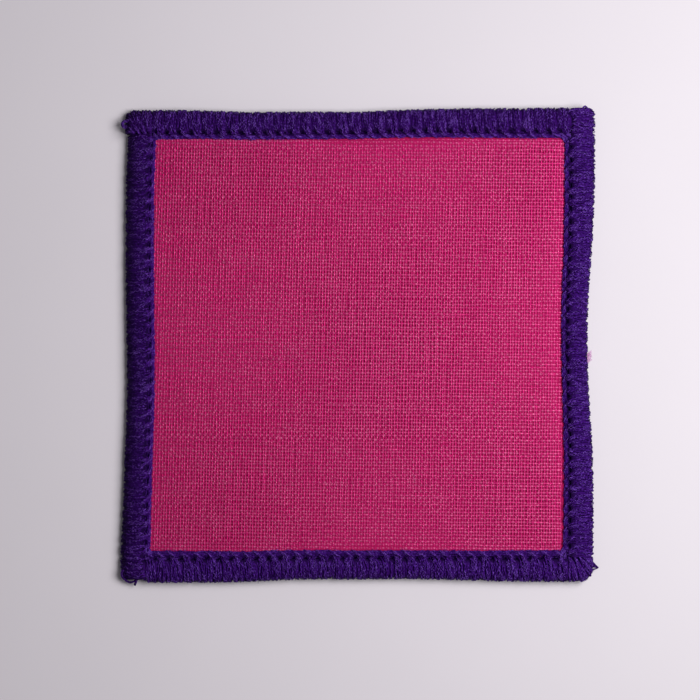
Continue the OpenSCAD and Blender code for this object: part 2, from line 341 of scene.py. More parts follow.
class Nodes:
    """A node tree to which nodes are added with their settings and their sockets"""

    def __init__(self, tree):
        self.tree = tree

    def add(self, kind, settings=None, sockets=None):
        made = self.tree.nodes.new(kind)
        for name, value in (settings or {}).items():
            setattr(made, name, value)
        for name, value in (sockets or {}).items():
            self.feed(made.inputs[name], value)
        return made

    def feed(self, socket, value):
        if isinstance(value, Value):
            value = value.socket
        if isinstance(value, bpy.types.NodeSocket):
            self.tree.links.new(value, socket)
        else:
            socket.default_value = value

    def apart(self, vector):
        """The three numbers of a vector"""
        return [Value(self, part) for part in self.add("ShaderNodeSeparateXYZ", None, {0: vector}).outputs]

    def together(self, *numbers):
        """The vector of three numbers"""
        return self.add("ShaderNodeCombineXYZ", None, dict(enumerate(numbers))).outputs[0]


class Shader(Nodes):
    """A material made of nodes round one Principled shader"""

    def __init__(self, name):
        self.material = bpy.data.materials.new(name)
        self.material.use_nodes = True
        super().__init__(self.material.node_tree)
        self.tree.nodes.clear()
        self.surface = self.add("ShaderNodeBsdfPrincipled")
        self.add("ShaderNodeOutputMaterial", sockets={"Surface": self.surface.outputs[0]})

    def attribute(self, name, output="Fac"):
        found = self.add("ShaderNodeAttribute", {"attribute_name": name}).outputs[output]
        return Value(self, found) if output == "Fac" else found

    def place(self):
        return self.add("ShaderNodeTexCoord").outputs["Object"]

    def noise(self, vector, scale, detail=2.0, roughness=0.5):
        made = self.add("ShaderNodeTexNoise", {"noise_dimensions": "3D"},
                        {"Vector": vector, "Scale": scale, "Detail": detail, "Roughness": roughness})
        return Value(self, made.outputs["Fac"])

    def mix(self, factor, first, second):
        made = self.add("ShaderNodeMix", {"data_type": "RGBA"})
        self.feed(made.inputs[0], factor)
        self.feed(made.inputs[6], first)
        self.feed(made.inputs[7], second)
        return made.outputs[2]

    def range(self, value, low, high, new_low, new_high):
        made = self.add("ShaderNodeMapRange", None, {"Value": value, "From Min": low, "From Max": high,
                                                     "To Min": new_low, "To Max": new_high})
        return Value(self, made.outputs[0])

    def bump(self, height, distance, strength):
        sockets = {"Height": height, "Distance": distance, "Strength": strength}
        return self.add("ShaderNodeBump", None, sockets).outputs[0]

    def finish(self, **sockets):
        for name, value in sockets.items():
            self.feed(self.surface.inputs[name.replace("_", " ")], value)
        return self.material


def rgba(shade, times=1.0):
    """A colour made darker or brighter, with full cover"""
    return tuple(min(1.0, c * times) for c in shade) + (1.0,)


def object_of(name, points, faces):
    """A mesh object of points and faces"""
    mesh = bpy.data.meshes.new(name)
    mesh.from_pydata(np.asarray(points).tolist(), (), faces)
    made = bpy.data.objects.new(name, mesh)
    bpy.context.scene.collection.objects.link(made)
    return made


def lines_object(name, lines, thickness, tone, beat=None):
    """One object of open lines, with the thickness, tone and distance along each for the tubes.
    lines and thickness hold an array for each line, tone one number for each, and beat, where it is
    given, a row of numbers that are even where a woven thread lies on top."""
    counts = [len(line) for line in lines]
    points = np.concatenate(lines)
    first = np.concatenate([[0], np.cumsum(counts)[:-1]])
    inside = np.ones(len(points), bool)
    inside[np.cumsum(counts) - 1] = False
    a = np.nonzero(inside)[0]
    mesh = bpy.data.meshes.new(name)
    mesh.vertices.add(len(points))
    mesh.vertices.foreach_set("co", points.astype(np.float32).ravel())
    mesh.edges.add(len(a))
    mesh.edges.foreach_set("vertices", np.stack([a, a + 1], 1).astype(np.int32).ravel())
    step = np.zeros(len(points))
    step[1:] = np.linalg.norm(points[1:] - points[:-1], axis=1)
    step[first] = 0
    run = np.cumsum(step)
    along = run - np.repeat(run[first], counts)
    values = {"thickness": np.concatenate(thickness), "tone": np.repeat(tone, counts), "along": along}
    if beat is not None:
        values["beat"] = np.concatenate(beat)
    for key, value in values.items():
        mesh.attributes.new(key, "FLOAT", "POINT").data.foreach_set("value", value.astype(np.float32))
    mesh.update()
    made = bpy.data.objects.new(name, mesh)
    bpy.context.scene.collection.objects.link(made)
    return made


class GeometryTree(Nodes):
    """A Geometry Nodes tree with named inputs"""

    def __init__(self, name, inputs):
        super().__init__(bpy.data.node_groups.new(name, "GeometryNodeTree"))
        self.tree.interface.new_socket("Geometry", in_out="INPUT", socket_type="NodeSocketGeometry")
        for label, kind in inputs:
            self.tree.interface.new_socket(label, in_out="INPUT", socket_type=kind)
        self.tree.interface.new_socket("Geometry", in_out="OUTPUT", socket_type="NodeSocketGeometry")
        self.start = self.tree.nodes.new("NodeGroupInput").outputs

    def named(self, name):
        found = self.add("GeometryNodeInputNamedAttribute", {"data_type": "FLOAT"}, {"Name": name})
        return Value(self, found.outputs[0])

    def position(self):
        return self.add("GeometryNodeInputPosition").outputs[0]

    def ring(self, sides):
        """A round section of radius 1"""
        return self.add("GeometryNodeCurvePrimitiveCircle", {"mode": "RADIUS"},
                        {"Resolution": sides, "Radius": 1.0}).outputs[0]

    def tube(self, line, ring, half_thickness):
        """A smooth closed tube along each line"""
        made = self.add("GeometryNodeCurveToMesh", None, {"Curve": line, "Profile Curve": ring,
                                                          "Scale": half_thickness, "Fill Caps": True})
        return self.add("GeometryNodeSetShadeSmooth", None, {"Geometry": made.outputs[0]}).outputs[0]

    def store(self, geometry, name, value, kind="FLOAT"):
        return self.add("GeometryNodeStoreNamedAttribute", {"data_type": kind, "domain": "POINT"},
                        {"Geometry": geometry, "Name": name, "Value": value}).outputs[0]

    def end(self, geometry, material):
        real = self.add("GeometryNodeRealizeInstances", None, {"Geometry": geometry}).outputs[0]
        painted = self.add("GeometryNodeSetMaterial", None, {"Geometry": real, "Material": material})
        self.feed(self.tree.nodes.new("NodeGroupOutput").inputs[0], painted.outputs[0])


def tube_tree():
    """Tubes round lines: a ring of a few sides, flattened, as thick as each point says"""
    t = GeometryTree("Strand tubes", [("Sides", "NodeSocketInt"), ("Flatness", "NodeSocketFloat"),
                                      ("Material", "NodeSocketMaterial")])
    line = t.add("GeometryNodeMeshToCurve", None, {"Mesh": t.start["Geometry"]}).outputs[0]
    line = t.add("GeometryNodeSetCurveNormal", {"mode": "Z_UP"}, {"Curve": line}).outputs[0]
    ring = t.store(t.ring(t.start["Sides"]), "ring", t.position(), "FLOAT_VECTOR")
    size = t.together(1.0, t.start["Flatness"], 1.0)
    ring = t.add("GeometryNodeTransform", None, {"Geometry": ring, "Scale": size}).outputs[0]
    t.end(t.tube(line, ring, t.named("thickness")), t.start["Material"])
    return t.tree


def fibre_tree():
    """Stray fibres that stand on a surface: bent lines scattered over it, each turned its own way"""
    t = GeometryTree("Stray fibres", [("Density", "NodeSocketFloat"), ("Length", "NodeSocketFloat"),
                                      ("Radius", "NodeSocketFloat"), ("Seed", "NodeSocketInt"),
                                      ("Material", "NodeSocketMaterial")])
    seed = t.start["Seed"]
    spots = t.add("GeometryNodeDistributePointsOnFaces", {"distribute_method": "RANDOM"},
                  {"Mesh": t.start["Geometry"], "Density": t.start["Density"], "Seed": seed}).outputs
    hair = t.add("GeometryNodeCurvePrimitiveLine", {"mode": "POINTS"},
                 {"Start": (0.0, 0.0, -0.15), "End": (0.0, 0.0, 1.0)}).outputs[0]
    hair = t.add("GeometryNodeResampleCurve", {"mode": "COUNT"}, {"Curve": hair, "Count": 6}).outputs[0]
    along = Value(t, t.add("GeometryNodeSplineParameter").outputs["Factor"])
    bend = t.together(along ** 2.0, 0.0, 0.0)
    hair = t.add("GeometryNodeSetPosition", None, {"Geometry": hair, "Offset": bend}).outputs[0]
    hair = t.store(hair, "taper", along.math("MULTIPLY_ADD", along, -0.6, 1.0))
    turn = t.add("FunctionNodeRandomValue", {"data_type": "FLOAT_VECTOR"},
                 {"Min": (-0.9, -0.9, -3.1416), "Max": (0.9, 0.9, 3.1416), "Seed": seed}).outputs[0]
    turn = t.add("FunctionNodeEulerToRotation", None, {"Euler": turn}).outputs[0]
    turned = t.add("FunctionNodeRotateRotation", {"rotation_space": "LOCAL"},
                   {"Rotation": spots["Rotation"], "Rotate By": turn}).outputs[0]
    low, high = 2, 3    # the node's sockets for numbers, which share their names with those for vectors
    share_of_length = t.add("FunctionNodeRandomValue", {"data_type": "FLOAT"},
                            {low: 0.35, high: 1.0, "Seed": seed}).outputs[1]
    hairs = t.add("GeometryNodeInstanceOnPoints", None,
                  {"Points": spots["Points"], "Instance": hair, "Rotation": turned,
                   "Scale": Value(t, share_of_length) * t.start["Length"]}).outputs[0]
    hairs = t.add("GeometryNodeRealizeInstances", None, {"Geometry": hairs}).outputs[0]
    x, y, z = t.apart(t.position())
    above_floor = t.together(x, y, z.math("MAXIMUM", z, 0.03 * MM))
    hairs = t.add("GeometryNodeSetPosition", None, {"Geometry": hairs, "Position": above_floor}).outputs[0]
    t.end(t.tube(hairs, t.ring(3), t.named("taper") * t.start["Radius"]), t.start["Material"])
    return t.tree


def grown(source, tree, name, **inputs):
    """The plain mesh object that the tree makes of the source, which is removed"""
    modifier = source.modifiers.new("Grow", "NODES")
    modifier.node_group = tree
    sockets = {item.name: item.identifier for item in tree.interface.items_tree
               if item.item_type == "SOCKET" and item.in_out == "INPUT"}
    for label, value in inputs.items():
        modifier[sockets[label.replace("_", " ")]] = value
    bpy.context.view_layer.update()
    evaluated = source.evaluated_get(bpy.context.evaluated_depsgraph_get())
    mesh = bpy.data.meshes.new_from_object(evaluated)
    if not mesh.polygons:
        raise RuntimeError(f"{name} came out empty")
    bpy.data.objects.remove(source)
    mesh.name = name
    made = bpy.data.objects.new(name, mesh)
    bpy.context.scene.collection.objects.link(made)
    return made


class Strands:
    """Strands of yarn that are gathered one by one and then made into tubes. They sink into the
    holes, where those are given."""

    def __init__(self, holes=None):
        self.holes = holes
        self.lines, self.thick, self.tones = [], [], []

    def add(self, line, half_thickness, tone):
        self.lines.append(line if self.holes is None else sunk(line, self.holes))
        self.thick.append(half_thickness * np.ones(len(line)))
        self.tones.append(tone)

    def tubes(self, material, sides=3, name="strands"):
        source = lines_object("strand_lines", self.lines, self.thick, np.array(self.tones))
        return grown(source, TREES["tubes"], name, Sides=sides, Flatness=1.0, Material=material)


def sunk(points, rows):
    """The points, lowered towards the cloth where they pass over a hole"""
    gap = ((points[:, None, :2] - rows[None, :, :2]) ** 2).sum(-1)
    drop = np.exp(-gap / rows[:, 2] ** 2).max(1) * HOLE_DEPTH * MM
    low = np.minimum(points[:, 2], HOLE_FLOOR * MM)
    return np.stack([points[:, 0], points[:, 1], np.maximum(points[:, 2] - drop, low)], 1)


def joined(name, *objects):
    """One object of several, each with its own material"""
    for other in bpy.context.selected_objects:
        other.select_set(False)
    for one in objects:
        one.select_set(True)
    bpy.context.view_layer.objects.active = objects[0]
    bpy.ops.object.join()
    objects[0].name = name
    objects[0].data.name = name
    return objects[0]


def curve(x, y, slope, at):
    """A smooth curve through points with those slopes, at places between its ends"""
    i = np.clip(np.searchsorted(x, at, side="right") - 1, 0, len(x) - 2)
    step = x[i + 1] - x[i]
    t = (at - x[i]) / step
    return ((2 * t**3 - 3 * t**2 + 1) * y[i] + (t**3 - 2 * t**2 + t) * step * slope[i]
            + (3 * t**2 - 2 * t**3) * y[i + 1] + (t**3 - t**2) * step * slope[i + 1])


def smooth(rows, column, place):
    """One column of a table on a smooth curve through its rows, at places from -1 to 1"""
    x, y = np.array(rows)[:, 0], np.array(rows)[:, column]
    row = np.arange(len(x))
    before, after = np.maximum(row - 1, 0), np.minimum(row + 1, len(x) - 1)
    return curve(x, y, (y[after] - y[before]) / (x[after] - x[before]), np.clip(place, -1, 1))


def near(rng, middle, spread):
    """A tone near the middle one"""
    return np.clip(middle + rng.normal(0, spread), 0, 1)


def phase(rng):
    """Where in its turn a wave starts"""
    return rng.uniform(0, 6.28)


def wander(rng, n, spacing, size):
    """A row of n smooth random numbers of about that size, one new value every spacing numbers"""
    knots = rng.normal(0, size, int(n / spacing) + 4)
    at = np.arange(n) / spacing + rng.random()
    i = at.astype(int)
    t = at - i
    t = t * t * (3 - 2 * t)
    return knots[i] * (1 - t) + knots[i + 1] * t


class Side:
    """One side of the border in its own measures: s runs along it in the sewing direction and
    o outwards from the middle. Its stitches are counted by c, a whole number at each groove."""

    def __init__(self, side, sizes):
        self.side, self.sizes = side, sizes
        following, before = (side + 1) % 4, (side + 3) % 4
        self.start = -self.inner(before, np.inf) + FIRST_GROOVE[FANNED[before]] * MM
        self.pivot = self.inner(following, -np.inf)
        self.end = self.outer(following, -np.inf) + FAN_OUT[side] * MM
        self.corner_r = sizes.yarn_edge + CLOTH_CORNERS[side] * sizes.wrap_w
        self.corner_s = self.end - self.corner_r
        self.outwards = OUTWARDS[side] * MM
        self.corner_o = self.outer(side, np.inf) + self.outwards - self.corner_r
        self.straight = int(round((self.pivot - self.start) / sizes.stitch_pitch))
        self.last_inner = float(self.inner(side, self.pivot))
        self.count, self.table = self.stitch_table()
        self.top = sizes.yarn_under + sizes.cloth_t
        self.chain = sizes.chain_w + CHAIN_WIDER[side] * MM
        self.bend = CHAIN_BENDS[side] * sizes.wrap_w
        self.holes = self.needle_holes()

    def half(self, side, along):
        """Half the patch's size along that side, or across it"""
        size = self.sizes
        return (size.patch_w if (side % 2 == 0) == along else size.patch_h) / 2

    def place(self, side, s):
        """Where s lies along that side, from -1 to 1"""
        return np.clip(s / (self.half(side, True) - self.sizes.wrap_w), -1, 1)

    def outer(self, side, s):
        """Where that side's outer edge lies, as packed"""
        drawn = smooth(SIDES[side], DRAW_IN, self.place(side, s))
        return self.half(side, False) - self.sizes.wrap_w * drawn

    def inner(self, side, s):
        """Where the inner ends of that side's stitches lie"""
        width = self.sizes.wrap_w * smooth(SIDES[side], WIDTH, self.place(side, s))
        return self.outer(side, s) - width - INWARDS[side] * MM

    def outline(self, distance):
        """Points of the outer edge at distances past the pivot: straight, round the corner, back in"""
        flat, bend = self.corner_s - self.pivot, math.pi / 2 * self.corner_r
        turn = np.clip((distance - flat) / self.corner_r, 0, math.pi / 2)
        s = np.where(distance < flat, self.pivot + distance, self.corner_s + self.corner_r * np.sin(turn))
        o = np.where(distance < flat, self.outer(self.side, s) + self.outwards,
                     self.corner_o + self.corner_r * np.cos(turn))
        return s, o - np.maximum(distance - flat - bend, 0)

    def stitch_table(self):
        """Inner and outer ends of the stitches and what is left of their height, row by row of c"""
        pitch = (self.pivot - self.start) / self.straight
        c = np.linspace(0, self.straight, self.straight * 8 + 1)
        s = self.start + c * pitch
        inner, outer = self.inner(self.side, s), self.outer(self.side, s) + self.outwards
        rows = [np.stack([c, s, inner, s, outer, np.ones_like(s)], 1)]
        if FANNED[self.side]:
            way = (self.corner_s - self.pivot + math.pi / 2 * self.corner_r
                   + self.corner_o - self.last_inner - FAN_OUTER_SHORT * MM)
            more = int(round(way / self.sizes.stitch_pitch))
            e = np.linspace(0, 1, more * 16 + 1)[1:]
            s_out, o_out = self.outline(e * way)
            s_in = self.pivot + (self.end - self.pivot - FAN_INNER_SHORT * MM) * e
            o_in = self.last_inner + FAN_INNER_RISE * MM * e
            left = np.ones_like(e)
        else:
            round_off, half_height = 0.85 * MM, 1.2 * MM
            stop = self.end - SHORTER[self.side] * MM
            flat = stop - round_off - self.pivot
            arc = math.pi / 2 * math.hypot(round_off, half_height) / math.sqrt(2)
            more = int(round((flat + arc) / self.sizes.stitch_pitch))
            e = np.linspace(0, 1, more * 16 + 1)[1:] * (flat + 0.9 * arc)
            turn = np.clip((e - flat) / arc, 0, 1) * math.pi / 2
            s_in = np.where(e < flat, self.pivot + e, stop - round_off + round_off * np.sin(turn))
            o_in = np.full_like(s_in, self.last_inner)
            s_out = s_in
            over = np.clip((s_in - self.corner_s) / self.corner_r, 0, 0.999)
            o_out = np.where(s_in < self.corner_s, self.outer(self.side, s_in) + self.outwards,
                             self.corner_o + self.corner_r * np.sqrt(1 - over**2))
            left = np.cos(turn)
        c = self.straight + np.arange(1, len(e) + 1) / 16
        rows.append(np.stack([c, s_in, o_in, s_out, o_out, left], 1))
        return self.straight + more, np.concatenate(rows)

    def ends(self, c):
        """Inner end (s, o), outer end (s, o) and height left at each c"""
        low, high = self.table[0], self.table[-1]
        found = [np.interp(c, self.table[:, 0], self.table[:, k]) for k in range(1, 6)]
        pitch = self.sizes.stitch_pitch
        before = np.minimum(c - low[0], 0) * pitch
        after = np.maximum(c - high[0], 0) * pitch * (0 if FANNED[self.side] else 0.1)
        for k in (0, 2):
            found[k] = found[k] + before + after
        return found

    def to_patch(self, s, o, z):
        """Points of the patch at the side's own measures"""
        x, y = ((s, -o), (o, s), (-s, o), (-o, -s))[self.side]
        return np.stack(np.broadcast_arrays(x, y, z), -1)

    def beside(self, c, off, z):
        """Points beside the stitches' inner ends at c, so far outwards, or inwards where off is below 0"""
        s_in, o_in, s_out, o_out, _ = self.ends(c)
        span = np.hypot(s_out - s_in, o_out - o_in)
        return self.to_patch(s_in + (s_out - s_in) / span * off, o_in + (o_out - o_in) / span * off, z)

    def round_corner(self, bend, turn, z):
        """Points on a bend of that radius round the corner of the stitches' inner ends"""
        s, o = self.pivot - self.bend, self.last_inner - self.bend
        return self.to_patch(s + bend * np.sin(turn), o + bend * np.cos(turn), z)

    def needle_holes(self):
        """Middle and radius of each hole that the needle left, one at each groove and the corners' own"""
        c = np.arange(0, self.straight + 1)
        places = self.beside(c - HOLE_BEFORE, HOLE_OUT * MM, 0.0)
        rows = [(x, y, HOLE_RADIUS * MM) for x, y, _ in places]
        return np.array(rows + [tuple(v * MM for v in row) for row in CORNER_HOLES])


def level_height(sizes, level):
    """Height of a level, as the table of the section counts them"""
    top = sizes.yarn_under + sizes.cloth_t
    return np.interp(level, (-1, 0, 1, 2), (0, sizes.yarn_under, top, top + sizes.yarn_over))


class Section:
    """The section through a stitch. Places on it are distances from the root, d."""

    def __init__(self, sizes):
        rows = np.array(SECTION)
        points = np.stack([rows[:, ACROSS] * sizes.wrap_w, level_height(sizes, rows[:, LEVEL])], 1)
        self.run = np.concatenate([[0], np.cumsum(np.linalg.norm(np.diff(points, axis=0), axis=1))])
        self.length = self.run[-1]
        self.fine = np.linspace(0, self.length, 400)
        self.path = np.stack([curve(self.run, y, np.gradient(y, self.run), self.fine) for y in points.T], 1)
        way = np.gradient(self.path, axis=0)
        self.way = way / np.linalg.norm(way, axis=1, keepdims=True)
        self.rows = rows
        self.width = sizes.wrap_w
        self.edge = np.interp(1.0, self.path[:300, 0] / self.width, self.fine[:300])

    def column(self, column, d):
        """One column of the section's table at each place d"""
        return np.interp(d, self.run, self.rows[:, column])

    def seam(self, u, d):
        """How deep the narrow gap beside a stitch is, over the top as far as the outer edge"""
        return SEAM_DEPTH * MM * np.abs(u) ** 9 * np.interp(d / self.edge, *SEAM_SHARES)

    def swelling(self, looks, u, d):
        """How far a stitch bulges out at its inner end, most in its middle"""
        return looks.swell * (1 - u**2) * np.exp(-((d - self.run[2]) / (0.6 * MM)) ** 2)

    def on(self, side, c, d, depth):
        """Points of the patch on the stitches' surface at c and each place d, so deep inside it"""
        s_in, o_in, s_out, o_out, left = side.ends(c)
        x, z, way_x, way_z = (np.interp(d, self.fine, column) for column in (*self.path.T, *self.way.T))
        across = (x + way_z * depth) / self.width
        z = np.maximum(z - way_x * depth, 0.04 * MM)
        middle = float(level_height(side.sizes, 0.5))
        z = middle + (z - middle) * left
        drop = DROP[side.side]
        if FANNED[side.side]:
            turned = side.straight + 0.55 * (side.count - side.straight)
            drop = np.interp(c, (side.straight - 1, turned), (drop, DROP[(side.side + 1) % 4]))
        z = np.maximum(z * (1 - drop * np.clip(across, 0, 1) ** 1.6), np.minimum(z, 0.2 * MM))
        return side.to_patch(s_in + (s_out - s_in) * across, o_in + (o_out - o_in) * across, z)


def yarn_material(name, looks, light=0.0, painted_shade_heights=(0.9, 1.7)):
    """The thick strands of the yarn, made a little paler by light"""
    colours = looks.yarn_colour, looks.shade_colour, looks.glint_colour
    return thread_material(name, colours, 0.5, light, 1.2, painted_shade_heights)


def filament_material(name, looks, painted_shade_heights=(0.9, 1.7)):
    """Thin crimped strands, some of them much paler, which catch the light"""
    colours = looks.glint_colour, looks.yarn_colour, looks.glint_colour
    return thread_material(name, colours, 0.36, -0.12, 0.6, painted_shade_heights)


def thread_material(name, colours, rough, light, fine, painted_shade_heights):
    """Textured yarn: fine fibres that wind round each strand, its own tone and pale specks of painted
    glints.
    The colours are those of its lit side, its shade and its glints, fine is how close the fibres lie, and
    it darkens with depth as painted shade, between the two given heights in mm over the floor."""
    tint, shade, glint = colours
    m = Shader(name)
    along, tone = m.attribute("along"), m.attribute("tone")
    waves = along * (13.0 / MM) + tone * 50.0
    crimp = waves.math("SINE", waves)
    winding = along * (1.6 / MM) + crimp * 1.2
    turned = m.add("ShaderNodeVectorRotate", {"rotation_type": "Z_AXIS"},
                   {"Vector": m.attribute("ring", "Vector"), "Angle": winding}).outputs[0]
    across, up, _ = m.apart(turned)
    spun = m.together(across * fine, up * fine, along * (1.8 / MM) + tone * 37.0)
    fibres = m.noise(spun, 1.6, 3.0, 0.65)
    patches = m.noise(m.place(), 0.35 / MM, 2.0)
    grains = m.noise(m.place(), 3.4 / MM, 1.0)
    # Painted glints: pale specks where the fine grain runs highest
    glints = m.range(grains, 0.60, 0.74, 0.0, 1.0).clamped()
    level = tone * 0.5 + fibres * 2.6 + patches * 0.12 + crimp * 0.26 + grains * 1.5 + (light - 1.85)
    body = m.mix(level.clamped(), rgba(shade), rgba(tint))
    body = m.mix(glints * 0.40, body, rgba(glint))
    # Painted shade: the strand darkens the lower it lies between the two heights
    height = m.apart(m.place())[2]
    deep = m.range(height, painted_shade_heights[0] * MM, painted_shade_heights[1] * MM, 0.85, 0.0).clamped()
    body = m.mix(deep, body, rgba(shade, 0.5))
    return m.finish(Base_Color=body, Roughness=fibres * 0.2 + rough,
                    Normal=m.bump(fibres + crimp * 0.15, 0.07 * MM, 0.8),
                    Sheen_Weight=0.03, Sheen_Roughness=0.45, Sheen_Tint=rgba(glint),
                    Specular_IOR_Level=0.08, Metallic=0.42)


def weave_material(name, looks, reach, breadth, twist):
    """Woven thread: a painted highlight where it rises over a crossing, in a patch slanted by its twist,
    and painted shade where it dives. reach is how far the patch runs along and breadth how far over the
    thread."""
    m = Shader(name)
    along, tone = m.attribute("along"), m.attribute("tone")
    across, up, _ = m.apart(m.attribute("ring", "Vector"))
    half = m.attribute("beat") * 0.5 + 0.5
    past_crossing = half.math("FRACT", half) - 0.5
    out = (across - past_crossing * twist) * (1 / breadth)
    far = past_crossing * (1 / reach)
    # Painted highlight over each crossing, slanted by the twist; where it fades the thread takes the
    # painted shade
    rise = tone.math("EXPONENT", (out * out + far * far) * -1.0)
    spun = m.together(across * 1.5 + along * (1.2 / MM), up * 1.5, tone * 37.0)
    fibres = m.noise(spun, 1.6, 3.0, 0.65)
    patches = m.noise(m.place(), 0.30 / MM, 2.0)
    spots = m.noise(m.place(), 2.6 / MM, 1.0)
    level = rise * 0.55 + tone * 0.18 + fibres * 0.25 + patches * 0.18 + spots * 0.45 - 0.37
    dark = m.mix((level * 2.0).clamped(), rgba(looks.shade_colour), rgba(looks.cloth_colour))
    body = m.mix((level * 2.0 - 1.0).clamped(), dark, rgba(looks.highlight_colour))
    return m.finish(Base_Color=body, Roughness=fibres * 0.2 + 0.36, Normal=m.bump(fibres, 0.02 * MM, 0.5),
                    Specular_IOR_Level=0.05, Metallic=0.5)


def woven_material(name, looks):
    """Plain weave in relief, for what shows between the threads and for the back of the cloth, in the gap
    colour: the cloth's colour darkened as painted shade between the threads
    """
    m = Shader(name)
    x, y, _ = m.apart(m.place())
    across = (x - y * looks.warp_slant) * (math.pi / looks.warp_pitch)
    up = (y + x * looks.weft_slant) * (math.pi / looks.weft_pitch)
    wave = x.math("SINE", across) * x.math("SINE", up)
    knots = x.math("ABSOLUTE", wave)
    grain = m.noise(m.place(), 4.0 / MM, 3.0)
    level = (knots * 0.5 + wave * 0.2 + grain * 0.5).clamped()
    return m.finish(Base_Color=m.mix(level, rgba(looks.gap_shade_colour, 0.75), rgba(looks.gap_shade_colour, 1.1)),
                    Roughness=grain * 0.1 + 0.8, Specular_IOR_Level=0.15,
                    Normal=m.bump(knots + wave * 0.3, 0.03 * MM, 0.6))


def deep_material(name, shade):
    """What lies under the strands, matt, with a faint grain, and darkest where its tone is 0. In the yarn's
    shade colour it is painted shade between the strands; the pink fluff uses it in its own colour.
    """
    m = Shader(name)
    grain = m.noise(m.place(), 4.0 / MM, 3.0)
    level = (m.attribute("tone") + grain * 0.4).clamped()
    return m.finish(Base_Color=m.mix(level, rgba(shade, 0.2), rgba(shade, 1.6)),
                    Roughness=grain * 0.1 + 0.85, Specular_IOR_Level=0.08,
                    Normal=m.bump(grain, 0.05 * MM, 0.8))


def floor_material(tint):
    """A pale smooth board with a very faint mottle"""
    m = Shader("Pale board")
    mottle = m.noise(m.place(), 60.0, 3.0)
    fine = m.noise(m.place(), 1500.0, 2.0)
    return m.finish(Base_Color=m.mix(mottle, rgba(tint, 0.985), rgba(tint, 1.015)),
                    Roughness=fine * 0.1 + 0.6, Specular_IOR_Level=0.3,
                    Normal=m.bump(fine, 0.01 * MM, 0.3))


def dress(piece, slot, *nodes):
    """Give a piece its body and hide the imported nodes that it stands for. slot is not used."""
    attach(piece, BODY)
    if nodes:
        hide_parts(*nodes)
    return piece


